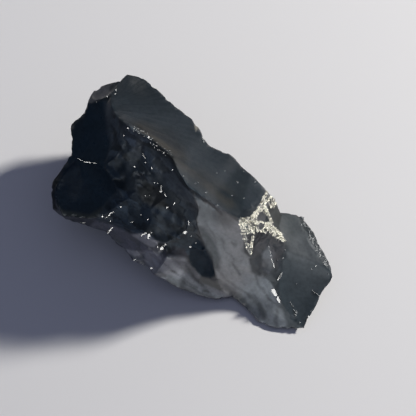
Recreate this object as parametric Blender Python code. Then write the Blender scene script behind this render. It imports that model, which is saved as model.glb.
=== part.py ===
"""Shungite nugget: one solid stone, broken on every side, standing on a fracture face.

The stone is laid out as a net of ridge corners. Each facet spans a loop of
corners, and is struck a little hollow, as a conchoidal break is, so that the
ridges between the facets stay sharp.
"""

import math

import bmesh
import bpy
from mathutils import Vector, geometry, noise

# Driving dimensions, in millimetres where no other unit is given.
MM = 0.001
SIZE = 1.0            # scale of the whole layout, 1.0 for a stone 38 mm long
MESH_STEP = 1.3       # longest triangle edge on a smooth facet
LEDGE_STEP = 0.95     # longest triangle edge on a facet broken into ledges
LEDGE_LENGTH = 1.7    # distance from one small ledge to the next
RIDGE_WANDER = 0.22   # how far a ridge strays from the straight line
WANDER_LENGTH = 2.2   # distance over which a ridge changes its mind
GROUND_CALM = 2.0     # height below which a ridge strays less and less up and down
WANDER_SEED = 3       # any whole number but 0, which would differ on each run
SPAN_PASSES = 25      # times that the inside of a facet is drawn smooth
SPAN_PULL = 0.7       # share of the way to its neighbours that a point is drawn
FINE_LEDGES = 0.14    # ledge depth above which a facet gets the finer mesh step
LAYOUT_LEAN = math.radians(65)   # the layout is drawn on a plane of sight this steep
LAYOUT_TURN = math.radians(42)   # the length runs this far down to the right on it

# Ridge corners: right and up on the layout plane, and height above the ground.
CORNERS = {
    # rim
    "r01": (-9.0, 15.1, 12.6), "r02": (-8.1, 15.8, 12.6), "r03": (-6.2, 15.5, 13.0),
    "r04": (-4.2, 14.0, 13.0), "r05": (-1.8, 11.8, 13.0), "r06": (0.2, 10.2, 13.0),
    "r07": (0.9, 9.0, 13.0), "r08": (2.1, 7.1, 12.8), "r09": (4.8, 5.9, 12.2),
    "r10": (6.8, 4.0, 11.4), "r11": (8.8, 2.0, 10.4), "r12": (10.5, 0.2, 8.6),
    "r13": (11.1, -1.5, 6.2), "r14": (13.8, -1.8, 4.5), "r15": (14.8, -3.4, 3.9),
    "r16": (16.0, -5.4, 3.4), "r17": (17.4, -7.8, 2.8), "r18": (17.6, -9.4, 2.4),
    "r19": (16.1, -11.5, 1.8), "r20": (15.1, -13.8, 1.2), "r21": (13.9, -15.8, 0.6),
    "r22": (11.0, -15.9, 0.4), "r23": (8.2, -14.9, 0.4), "r24": (6.4, -12.9, 0.5),
    "r25": (5.0, -11.9, 0.7), "r26": (3.1, -12.1, 0.7), "r27": (0.9, -11.8, 1.1),
    "r28": (-2.2, -10.5, 2.0), "r29": (-4.6, -9.2, 3.0), "r30": (-6.0, -8.0, 3.0),
    "r31": (-7.6, -7.1, 3.0), "r32": (-8.5, -5.9, 3.1), "r33": (-10.2, -4.6, 3.3),
    "r34": (-10.9, -3.8, 3.6), "r35": (-13.0, -3.0, 4.0), "r36": (-15.9, -2.2, 4.6),
    "r37": (-17.4, -0.8, 6.0), "r38": (-17.6, 1.2, 6.6), "r39": (-17.4, 2.6, 7.2),
    "r40": (-16.0, 4.4, 8.3), "r41": (-15.1, 5.9, 9.0), "r42": (-15.0, 7.5, 9.4),
    "r43": (-15.2, 9.6, 9.8), "r44": (-13.5, 11.0, 10.2), "r45": (-13.0, 12.6, 10.6),
    "r46": (-12.2, 13.9, 10.9), "r47": (-11.1, 14.6, 11.3), "r48": (-10.1, 14.9, 12.0),
    # crest, the highest ridge
    "c01": (-10.4, 13.2, 12.9), "c02": (-9.9, 11.5, 13.7), "c03": (-8.8, 10.1, 14.8),
    "c04": (-7.6, 9.1, 15.5), "c05": (-5.4, 8.0, 16.0), "c06": (-4.0, 6.8, 16.0),
    "c07": (-2.5, 5.6, 15.9), "c08": (-1.8, 3.9, 15.7), "c09": (-0.5, 2.0, 15.5),
    "c10": (1.5, 0.5, 14.9), "c11": (3.1, -0.5, 14.3), "c12": (4.5, -1.4, 13.6),
    "c13": (5.9, -2.1, 12.4),
    # ledge under the crest
    "l01": (0.1, 0.8, 14.5), "l02": (1.8, -0.1, 13.8), "l03": (3.2, -1.0, 13.1),
    # pyrite crust
    "g02": (7.2, -0.9, 12.2), "g03": (8.6, 0.4, 11.3), "g04": (11.5, -5.2, 5.9),
    "g05": (7.4, -6.8, 6.4), "g07": (7.8, -3.6, 10.8), "g08": (9.5, -4.5, 7.6),
    "k01": (9.5, -0.9, 9.2), "k02": (10.8, -3.4, 7.0),
    # narrow end
    "h01": (11.8, -6.0, 5.0), "h02": (11.1, -8.8, 3.4), "h03": (8.8, -8.9, 4.1),
    "h04": (10.9, -11.0, 2.6), "h05": (11.1, -12.6, 1.9), "h06": (12.5, -14.4, 1.2),
    "h07": (10.4, -8.0, 4.4), "e01": (13.2, -2.2, 5.0), "e02": (14.1, -4.1, 4.6),
    "e03": (15.6, -6.6, 3.9), "e04": (17.1, -8.5, 3.1), "e05": (14.0, -7.1, 4.1),
    # big pale face
    "d01": (0.9, -0.8, 13.2), "d02": (0.5, -2.5, 11.4), "d03": (1.8, -5.8, 8.1),
    "d04": (2.9, -8.2, 5.6),
    # dark hollows
    "a01": (-15.6, 4.0, 9.0), "a02": (-16.9, 2.0, 8.1), "a03": (-16.9, -0.5, 7.4),
    "a04": (-16.0, -1.8, 7.0), "a05": (-11.5, -1.9, 7.9), "a06": (-9.9, -0.9, 9.3),
    "a07": (-8.4, 0.2, 10.7), "a08": (-9.6, 2.2, 11.2), "a09": (-11.0, 4.5, 11.6),
    "a10": (-12.5, 4.9, 10.6), "a11": (-14.4, 5.5, 9.6), "a12": (-11.8, 12.8, 11.9),
    # hackly middle below the crest
    "n01": (-9.2, 8.0, 13.9), "n02": (-8.5, 6.1, 13.2), "n03": (-7.2, 4.2, 12.4),
    "n04": (-6.9, 1.5, 11.4), "m01": (-6.2, 7.0, 14.4), "m02": (-4.9, 4.0, 13.3),
    "m03": (-4.0, 2.4, 12.7), "m04": (-3.1, 0.6, 12.3), "m05": (-2.0, -0.5, 12.0),
    "m06": (-0.4, -2.5, 11.1), "q01": (-5.2, -0.8, 10.6), "q02": (-5.1, -2.5, 9.8),
    "q03": (-6.1, -3.9, 8.5), "q04": (-8.0, -3.0, 8.2), "q05": (-10.0, -2.5, 7.4),
    "q06": (-5.2, -4.6, 8.2), "q07": (-5.2, -5.9, 6.6), "q08": (-3.2, -5.1, 8.8),
    "q09": (-3.1, -6.9, 7.8), "q10": (-0.8, -3.8, 9.8), "q11": (-0.2, -5.5, 8.0),
    "q12": (2.6, -7.0, 6.9), "q13": (-0.2, -7.5, 5.4), "q14": (1.1, -9.1, 3.7),
    "q15": (2.9, -9.5, 4.1),
    # widest line of the walls
    "w01": (-12.3, 10.8, 5.0), "w02": (-8.1, 14.2, 7.6), "w03": (-3.0, 8.1, 4.4),
    "w04": (0.8, 6.4, 8.4), "w05": (4.5, 1.0, 3.8), "w06": (8.2, -0.5, 4.6),
    "w07": (11.2, -4.6, 2.0), "w08": (14.6, -6.1, 1.4), "w09": (16.6, -10.2, 0.8),
    "w10": (13.5, -15.7, 0.2), "w11": (8.9, -15.0, 0.1), "w12": (5.2, -11.7, 0.2),
    "w13": (-16.5, -0.1, 3.0), "w14": (-15.0, 3.5, 5.4), "w15": (-14.0, 5.2, 4.0),
    # edge of the rest face
    "b01": (-14.8, -1.2, 0.0), "b02": (-10.2, -3.1, 0.0), "b03": (-5.5, -7.2, 0.0),
    "b04": (0.1, -10.1, 0.0), "b05": (6.2, -11.9, 0.0), "b06": (14.2, -12.6, 0.0),
    "b07": (14.0, -7.4, 0.0), "b08": (4.6, -1.6, 0.0), "b09": (-2.8, 4.0, 0.0),
    "b10": (-7.8, 6.5, 0.0), "b11": (-12.2, 4.5, 0.0), "b12": (-14.5, 1.5, 0.0),
}

# Facets: name, the loop of corners, how deep the break is hollowed, and how deep
# the small ledges are that it is broken into.
FACETS = [
    # seen from above: the far side of the crest
    ("satin_face", "r01 r02 r03 r04 r05 r06 r07 r08 r09 r10 r11 g03 g02 c13"
     " c12 c11 c10 c09 c08 c07 c06 c05 c04 c03 c02 c01", 0.35, 0.0),
    ("chip", "r45 r46 r47 r48 r01 c01 a12", 0.15, 0.1),
    # the broad dark end
    ("dark_hollow_far", "r41 r42 r43 r44 r45 a12 c01 c02 c03 n01 n02 a09 a10 a11", 0.7, 0.0),
    ("dark_hollow_near", "a01 a11 a10 a09 a08 a07 a06 a05 a04 a03 a02", 0.75, 0.0),
    ("end_corner", "r40 r41 a11 a01", 0.05, 0.0),
    ("end_bevel_far", "r39 r40 a01 a02", 0.05, 0.0),
    ("end_bevel", "r37 r38 r39 a02 a03", 0.05, 0.0),
    ("end_bevel_near", "r36 r37 a03 a04", 0.05, 0.0),
    ("end_strip", "r36 a04 a05 q05 r34 r35", 0.15, 0.15),
    ("end_knob", "a05 a06 q05", 0.0, 0.2),
    ("saddle", "a09 n02 n03 n04 a07 a08", 0.25, 0.12),
    # below the crest
    ("shelf", "c03 c04 m01 n02 n01", 0.2, 0.12),
    ("crest_riser", "c04 c05 c06 c07 c08 c09 l01 d01 d02 m06 m05 m04 m03 m02 m01", 0.4, 0.0),
    ("notch", "n02 m01 m02 m03 n03", 0.25, 0.2),
    ("brown_hollow", "n03 m03 m04 q01 n04", 0.35, 0.2),
    ("hackle_left", "a07 n04 q01 q02 q03 q04 q05 a06", 0.25, 0.25),
    ("hackle_right", "q01 m04 m05 m06 q10 q08 q06 q03 q02", 0.3, 0.25),
    ("lip", "m06 d02 d03 q12 q11 q10", 0.25, 0.15),
    ("tongue", "q11 q12 d04 q15 q14 q13", 0.35, 0.0),
    ("heel", "q08 q10 q11 q13 q09", 0.25, 0.15),
    ("mauve_upper", "q05 q04 q03 q06 q07 r32 r33 r34", 0.25, 0.15),
    ("mauve_lower", "r32 q07 q08 q09 r29 r30 r31", 0.25, 0.2),
    ("mauve_step", "q06 q08 q07", 0.1, 0.0),
    ("pale_low", "q09 q13 q14 q15 r25 r26 r27 r28 r29", 0.3, 0.1),
    # the big pale face and its ledge
    ("ledge", "c09 c10 c11 c12 l03 l02 l01", 0.1, 0.0),
    ("pale_face", "l01 l02 l03 c12 c13 g05 h03 h02 h04 h05 h06 r21 r22 r23 r24 r25 q15 d04 q12 d03"
     " d02 d01", 0.1, 0.0),
    # pyrite vein
    ("vein_head", "c13 g02 g03 r11 r12 k01 g07", -0.3, 0.3),
    ("vein_leg", "g07 k01 k02 g04 g08", -0.25, 0.3),
    ("vein_tail", "c13 g07 g05", -0.15, 0.2),
    ("grey_strip", "k01 r12 r13 k02", 0.05, 0.0),
    # narrow end
    ("steps_left", "g05 g07 g08 h07 h02 h03", 0.25, 0.15),
    ("steps_right", "g08 g04 h01 h02 h07", 0.2, 0.15),
    ("end_flat_upper", "k02 r13 r14 e01 e02 e03 e04 e05 h01 g04", 0.2, 0.0),
    ("end_flat_lower", "h01 e05 e04 r18 r19 r20 r21 h06 h05 h04 h02", 0.35, 0.0),
    ("glitter_bevel", "r14 r15 r16 r17 r18 e04 e03 e02 e01", 0.05, 0.3),
    # walls below the rim
    ("wall_near_corner", "r36 r37 w13 b01", 0.2, 0.0),
    ("wall_end", "r37 r38 r39 w13", 0.2, 0.0),
    ("wall_end_mid", "r39 r40 w14 w13", 0.3, 0.0),
    ("wall_end_far", "r40 r41 r42 w15 w14", 0.4, 0.0),
    ("wall_far_corner", "r42 r43 r44 w01 w15", 0.4, 0.0),
    ("wall_chip", "r44 r45 r46 w01", 0.2, 0.2),
    ("wall_far_top", "r46 r47 r48 r01 r02 w02 w01", 0.5, 0.0),
    ("wall_far_shell", "r02 r03 r04 r05 w03 b09 b10 w02", 1.0, 0.0),
    ("wall_far_lip", "r05 r06 r07 w04 w03", 0.5, 0.0),
    ("wall_far_broad", "r07 r08 r09 r10 w05 w04", 0.7, 0.0),
    ("wall_far_side", "r10 r11 w06 w05", 0.3, 0.0),
    ("wall_far_chip", "r11 r12 w06", 0.2, 0.2),
    ("wall_notch", "r12 r13 w07 w06", 0.3, 0.3),
    ("wall_narrow_1", "r13 r14 r15 w08 w07", 0.1, 0.0),
    ("wall_narrow_2", "r15 r16 r17 w09 w08", 0.3, 0.2),
    ("wall_narrow_3", "r17 r18 r19 w09", 0.2, 0.0),
    ("wall_narrow_4", "r19 r20 r21 w10 w09", 0.15, 0.0),
    ("wall_foot_1", "r21 r22 r23 w11 w10", 0.05, 0.0),
    ("wall_foot_2", "r23 r24 r25 w12 w11", 0.05, 0.0),
    # underside
    ("under_end", "w13 b12 b01", 0.1, 0.0),
    ("under_end_mid", "w13 w14 b11 b12", 0.3, 0.0),
    ("under_end_far", "w14 w15 b11", 0.1, 0.0),
    ("under_far_end", "w15 w01 b10 b11", 0.5, 0.0),
    ("under_far_sliver", "w01 w02 b10", 0.2, 0.0),
    ("under_far_broad", "w03 w04 w05 b08 b09", 0.8, 0.0),
    ("under_far_narrow", "w05 w06 w07 b07 b08", 0.6, 0.0),
    ("under_narrow_1", "w07 w08 b07", 0.2, 0.0),
    ("under_narrow_2", "w08 w09 b06 b07", 0.4, 0.0),
    ("under_narrow_3", "w09 w10 w11 b06", 0.1, 0.0),
    ("under_foot", "w11 w12 b05 b06", 0.05, 0.0),
    ("under_near_1", "r36 b01 b02 r34 r35", 0.25, 0.2),
    ("under_near_2", "r34 b02 b03 r31 r32 r33", 0.35, 0.25),
    ("under_near_3", "r31 b03 b04 r28 r29 r30", 0.35, 0.25),
    ("under_near_4", "r28 b04 b05 w12 r25 r26 r27", 0.3, 0.2),
    ("rest_face", "b01 b02 b03 b04 b05 b06 b07 b08 b09 b10 b11 b12", 0.0, 0.0),
]


def place(right, up, height):
    """Turn a layout corner into the stone's own frame, +X along its length."""
    depth = (up - height * math.cos(LAYOUT_LEAN)) / math.sin(LAYOUT_LEAN)
    along = right * math.cos(LAYOUT_TURN) - depth * math.sin(LAYOUT_TURN)
    across = right * math.sin(LAYOUT_TURN) + depth * math.cos(LAYOUT_TURN)
    return Vector((along, across, height)) * SIZE


def build_net():
    """Join the corners into a closed net of facets."""
    net = bmesh.new()
    facet_of = net.faces.layers.int.new("facet")
    corners = {corner: net.verts.new(place(*spot)) for corner, spot in CORNERS.items()}
    for number, facet in enumerate(FACETS):
        loop = facet[1].split()
        face = net.faces.new([corners[corner] for corner in loop])
        face[facet_of] = number
    bmesh.ops.recalc_face_normals(net, faces=net.faces[:])
    bmesh.ops.triangulate(net, faces=net.faces[:])
    return net, facet_of


def step_for(edge, facet_of):
    """Longest edge allowed here: finer where a facet is broken into ledges."""
    ledges = max(FACETS[face[facet_of]][3] for face in edge.link_faces)
    return LEDGE_STEP if ledges > FINE_LEDGES else MESH_STEP


def refine(net, facet_of):
    """Split long edges until no triangle is wider than its mesh step."""
    while True:
        long_edges = [edge for edge in net.edges if edge.calc_length() > step_for(edge, facet_of)]
        if not long_edges:
            return
        bmesh.ops.subdivide_edges(net, edges=long_edges, cuts=1)
        wide = [face for face in net.faces if len(face.verts) > 3]
        bmesh.ops.triangulate(net, faces=wide)


def sort_verts(net, facet_of):
    """Give the facets that meet at each point: two or more make a ridge."""
    return {vert: {face[facet_of] for face in vert.link_faces} for vert in net.verts}


def wander_ridges(meeting):
    """Let the ridges stray a little, and less up and down the nearer the ground."""
    for vert, facets in meeting.items():
        if len(facets) < 2:
            continue
        stray = noise.noise_vector(vert.co / WANDER_LENGTH) * RIDGE_WANDER
        stray.z *= min(1, vert.co.z / GROUND_CALM)
        vert.co += stray


def span_facets(meeting):
    """Pull the inside of each facet to a smooth skin across its ridge loop."""
    inner = [vert for vert, facets in meeting.items() if len(facets) == 1]
    for _ in range(SPAN_PASSES):
        middles = {}
        for vert in inner:
            others = [edge.other_vert(vert).co for edge in vert.link_edges]
            middles[vert] = sum(others, Vector()) / len(others)
        for vert, middle in middles.items():
            vert.co = vert.co.lerp(middle, SPAN_PULL)


def hollow_facets(net, facet_of, meeting):
    """Sink the inside of each facet, steepest at its ridges."""
    for number, facet in enumerate(FACETS):
        name, hollow, ledges = facet[0], facet[2], facet[3]
        faces = [face for face in net.faces if face[facet_of] == number]
        border = [
            edge
            for edge in {edge for face in faces for edge in face.edges}
            if len({face[facet_of] for face in edge.link_faces}) > 1
        ]
        inner = [
            vert
            for vert in {vert for face in faces for vert in face.verts}
            if len(meeting[vert]) == 1
        ]
        if name == "rest_face" or not inner:
            continue
        outward = sum((face.normal * face.calc_area() for face in faces), Vector()).normalized()
        reach = {}
        for vert in inner:
            reach[vert] = min(distance_to_edge(vert.co, edge) for edge in border)
        deepest = max(reach.values())
        for vert, distance in reach.items():
            sunk = hollow * (1 - (1 - distance / deepest) ** 2)
            crest = 0.5 - 2 * abs(noise.noise(vert.co / LEDGE_LENGTH))
            raised = ledges * crest * min(1, distance / LEDGE_STEP)
            vert.co += outward * (raised - sunk)


def distance_to_edge(point, edge):
    """Distance from a point to the nearest spot on an edge."""
    start, end = (vert.co for vert in edge.verts)
    nearest, share = geometry.intersect_point_line(point, start, end)
    if share < 0:
        nearest = start
    if share > 1:
        nearest = end
    return (point - nearest).length


def centre(net):
    """Move the stone so that its box stands centred on the origin, in metres."""
    low = Vector(min(vert.co[axis] for vert in net.verts) for axis in range(3))
    high = Vector(max(vert.co[axis] for vert in net.verts) for axis in range(3))
    shift = Vector(((low.x + high.x) / 2, (low.y + high.y) / 2, low.z))
    for vert in net.verts:
        vert.co = (vert.co - shift) * MM


def shungite():
    """Near-black, glassy to half metallic mineral."""
    material = bpy.data.materials.new("shungite")
    material.use_nodes = True
    shader = material.node_tree.nodes["Principled BSDF"]
    shader.inputs["Base Color"].default_value = (0.012, 0.014, 0.018, 1)
    shader.inputs["Metallic"].default_value = 0.2
    shader.inputs["Roughness"].default_value = 0.25
    return material


for leftover in list(bpy.data.objects):
    bpy.data.objects.remove(leftover)

noise.seed_set(WANDER_SEED)
stone, facet_layer = build_net()
refine(stone, facet_layer)
facets_at = sort_verts(stone, facet_layer)
wander_ridges(facets_at)
span_facets(facets_at)
stone.normal_update()
hollow_facets(stone, facet_layer, facets_at)
centre(stone)

mesh = bpy.data.meshes.new("nugget")
stone.to_mesh(mesh)
stone.free()
nugget = bpy.data.objects.new("nugget", mesh)
nugget.data.materials.append(shungite())
bpy.context.collection.objects.link(nugget)
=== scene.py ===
import math

import bmesh
import bpy
import numpy as np
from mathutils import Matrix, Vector, bvhtree, kdtree, noise


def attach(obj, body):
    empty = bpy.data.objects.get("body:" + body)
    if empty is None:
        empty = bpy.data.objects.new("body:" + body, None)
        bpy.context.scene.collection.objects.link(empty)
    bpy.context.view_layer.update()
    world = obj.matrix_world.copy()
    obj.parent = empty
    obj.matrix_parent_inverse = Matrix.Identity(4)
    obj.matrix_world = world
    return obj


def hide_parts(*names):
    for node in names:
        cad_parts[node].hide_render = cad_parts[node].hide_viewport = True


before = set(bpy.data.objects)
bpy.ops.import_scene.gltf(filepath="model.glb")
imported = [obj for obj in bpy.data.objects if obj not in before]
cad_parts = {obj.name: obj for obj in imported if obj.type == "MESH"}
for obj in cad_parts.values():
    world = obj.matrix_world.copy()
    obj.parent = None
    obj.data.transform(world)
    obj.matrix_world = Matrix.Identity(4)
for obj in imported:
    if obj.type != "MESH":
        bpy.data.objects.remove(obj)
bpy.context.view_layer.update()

# ---------------------------------------------------------------- the stone
# A nugget of shungite, a near-black carbon mineral that breaks like glass.
# Every face is a break: hollow shells with ripples, sharp ridges between
# them, and a hackly middle where many small breaks ran into each other.

MM = 0.001
PLAN_LEAN = math.radians(65)
PLAN_TURN = math.radians(42)
PLAN_SHIFT = (3.114, -4.2335)


def on_plan(points):
    """Right and up, in mm, on the leaning plane that the breaks are drawn on."""
    along = points[:, 0] + PLAN_SHIFT[0]
    across = points[:, 1] + PLAN_SHIFT[1]
    right = along * math.cos(PLAN_TURN) + across * math.sin(PLAN_TURN)
    depth = across * math.cos(PLAN_TURN) - along * math.sin(PLAN_TURN)
    up = depth * math.sin(PLAN_LEAN) + points[:, 2] * math.cos(PLAN_LEAN)
    return np.stack([right, up], axis=1)


def off_plan(right, up, height):
    """The point of the stone at a spot of the plane and a height, in mm."""
    depth = (up - height * math.cos(PLAN_LEAN)) / math.sin(PLAN_LEAN)
    along = right * math.cos(PLAN_TURN) - depth * math.sin(PLAN_TURN)
    across = right * math.sin(PLAN_TURN) + depth * math.cos(PLAN_TURN)
    return Vector((along - PLAN_SHIFT[0], across - PLAN_SHIFT[1], height))


def from_sight(right, away, height):
    """A direction given to the right, away and up, seen along the lean of the plane."""
    along = right * math.cos(PLAN_TURN) - away * math.sin(PLAN_TURN)
    across = right * math.sin(PLAN_TURN) + away * math.cos(PLAN_TURN)
    return Vector((along, across, height)).normalized()


def reach_of(spots, line):
    """Distance of each spot from a line of straight runs."""
    reach = np.full(len(spots), 1e9)
    for start, end in zip(line, line[1:]):
        start = np.array(start)
        run = np.array(end) - start
        share = np.clip((spots - start) @ run / max(1e-9, run @ run), 0, 1)
        reach = np.minimum(reach, np.linalg.norm(spots - start - share[:, None] * run, axis=1))
    return reach


SIGHT = from_sight(0, -math.cos(PLAN_LEAN), math.sin(PLAN_LEAN))
SUN = from_sight(0.78, 0.40, 0.45)
RIDGE_ANGLE = math.radians(20)
SHARP_ANGLE = math.radians(32)
RIDGE_STEP = 0.2
ROUNDED_RIDGE = [(12.2, -6.2), (14.0, -7.1), (17.1, -8.5)]
ROUNDED_REACH = 0.5
ROUNDED_ABOVE = 2

noise.seed_set(11)
stone_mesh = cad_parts["nugget"].data.copy()
rough_cut = bmesh.new()
rough_cut.from_mesh(stone_mesh)
bmesh.ops.remove_doubles(rough_cut, verts=rough_cut.verts[:], dist=1e-7)
crease = rough_cut.edges.layers.float.new("crease_edge")
ridge_spots = []
for edge in rough_cut.edges:
    sharpness = (edge.calc_face_angle(0) - RIDGE_ANGLE) / (SHARP_ANGLE - RIDGE_ANGLE)
    middle = (edge.verts[0].co + edge.verts[1].co) / 2 / MM
    from_rounded = reach_of(on_plan(np.array([middle])), ROUNDED_RIDGE)[0]
    if middle.z > ROUNDED_ABOVE and from_rounded < ROUNDED_REACH:
        sharpness = 0
    edge[crease] = min(1, max(0, sharpness))
    if edge[crease] > 0.5:
        start, end = (vert.co / MM for vert in edge.verts)
        steps = 1 + int((end - start).length / RIDGE_STEP)
        ridge_spots += [start.lerp(end, step / steps) for step in range(steps + 1)]
shell_of = rough_cut.faces.layers.int.new("shell")
for face in rough_cut.faces:
    face[shell_of] = -1
shell_count = 0
for face in rough_cut.faces:
    if face[shell_of] >= 0:
        continue
    face[shell_of] = shell_count
    front = [face]
    while front:
        here = front.pop()
        for edge in here.edges:
            if edge[crease] > 0:
                continue
            for other in edge.link_faces:
                if other[shell_of] < 0:
                    other[shell_of] = shell_count
                    front.append(other)
    shell_count += 1
rough_cut.to_mesh(stone_mesh)
rough_cut.free()

stone_blank = bpy.data.objects.new("stone_blank", stone_mesh)
bpy.context.scene.collection.objects.link(stone_blank)
smoothing = stone_blank.modifiers.new("smoothing", "SUBSURF")
smoothing.levels = 2
smoothing.render_levels = 2
smoothing.use_limit_surface = False
depsgraph = bpy.context.evaluated_depsgraph_get()
stone = bpy.data.objects.new(
    "shungite_stone", bpy.data.meshes.new_from_object(stone_blank.evaluated_get(depsgraph))
)
bpy.context.scene.collection.objects.link(stone)
bpy.data.objects.remove(stone_blank)


def read_points(mesh):
    """The points of a mesh, in mm."""
    flat = np.empty(len(mesh.vertices) * 3, dtype=np.float32)
    mesh.vertices.foreach_get("co", flat)
    return flat.reshape(-1, 3).astype(float) / MM


def read_normals(mesh):
    """The outward directions at the points of a mesh."""
    flat = np.empty(len(mesh.vertices) * 3, dtype=np.float32)
    mesh.vertex_normals.foreach_get("vector", flat)
    return flat.reshape(-1, 3).astype(float)


def write_points(mesh, points):
    """Put the points of a mesh, given in mm."""
    mesh.vertices.foreach_set("co", (points * MM).astype(np.float32).ravel())
    mesh.update()


def write_mask(mesh, name, values):
    """Keep a number at every point, for the material to read."""
    kept = mesh.attributes.new(name, "FLOAT", "POINT")
    kept.data.foreach_set("value", values.astype(np.float32))


def write_map(mesh, name, values):
    """Keep a pair of lengths at every point, for a pattern that follows the surface."""
    flat = np.zeros((len(values), 3), dtype=np.float32)
    flat[:, :2] = values
    kept = mesh.attributes.new(name, "FLOAT_VECTOR", "POINT")
    kept.data.foreach_set("vector", flat.ravel())


def ease(value):
    """Limit to 0 and 1 and round off both ends."""
    value = np.clip(value, 0, 1)
    return value * value * (3 - 2 * value)


def noise_at(points, length, shift=0):
    """Smooth noise from about -1 to 1, with bumps about as long as given."""
    return np.array([noise.noise(Vector(point)) for point in points / length + shift])


def near_line(spots, line, width, soft):
    """1 along a line of a width, fading to 0 over the soft edge."""
    return ease((width / 2 + soft / 2 - reach_of(spots, line)) / soft)


def within(spots, loop, soft):
    """1 inside a closed loop, fading to 0 over the soft edge."""
    inside = np.zeros(len(spots), dtype=bool)
    for (ax, ay), (bx, by) in zip(loop, loop[1:] + loop[:1]):
        level = (ay > spots[:, 1]) != (by > spots[:, 1])
        crossing = ax + (bx - ax) * (spots[:, 1] - ay) / ((by - ay) or 1e-9)
        inside ^= level & (spots[:, 0] < crossing)
    reach = reach_of(spots, loop + loop[:1])
    return ease(0.5 + np.where(inside, reach, -reach) / soft)


points = read_points(stone.data)
normals = read_normals(stone.data)
plan = on_plan(points)
facing = ease((normals @ np.array(SIGHT) + 0.05) / 0.25)

ridge_tree = kdtree.KDTree(len(ridge_spots))
for number, spot in enumerate(ridge_spots):
    ridge_tree.insert(spot, number)
ridge_tree.balance()
ridge_reach = np.array([ridge_tree.find(Vector(point))[2] for point in points])

corners = np.empty(len(stone.data.loops), dtype=np.int32)
stone.data.loops.foreach_get("vertex_index", corners)
face_shell = np.empty(len(stone.data.polygons), dtype=np.int32)
stone.data.attributes["shell"].data.foreach_get("value", face_shell)
point_shell = np.zeros(len(points), dtype=np.int32)
point_shell[corners] = np.repeat(face_shell, 4)

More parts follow.
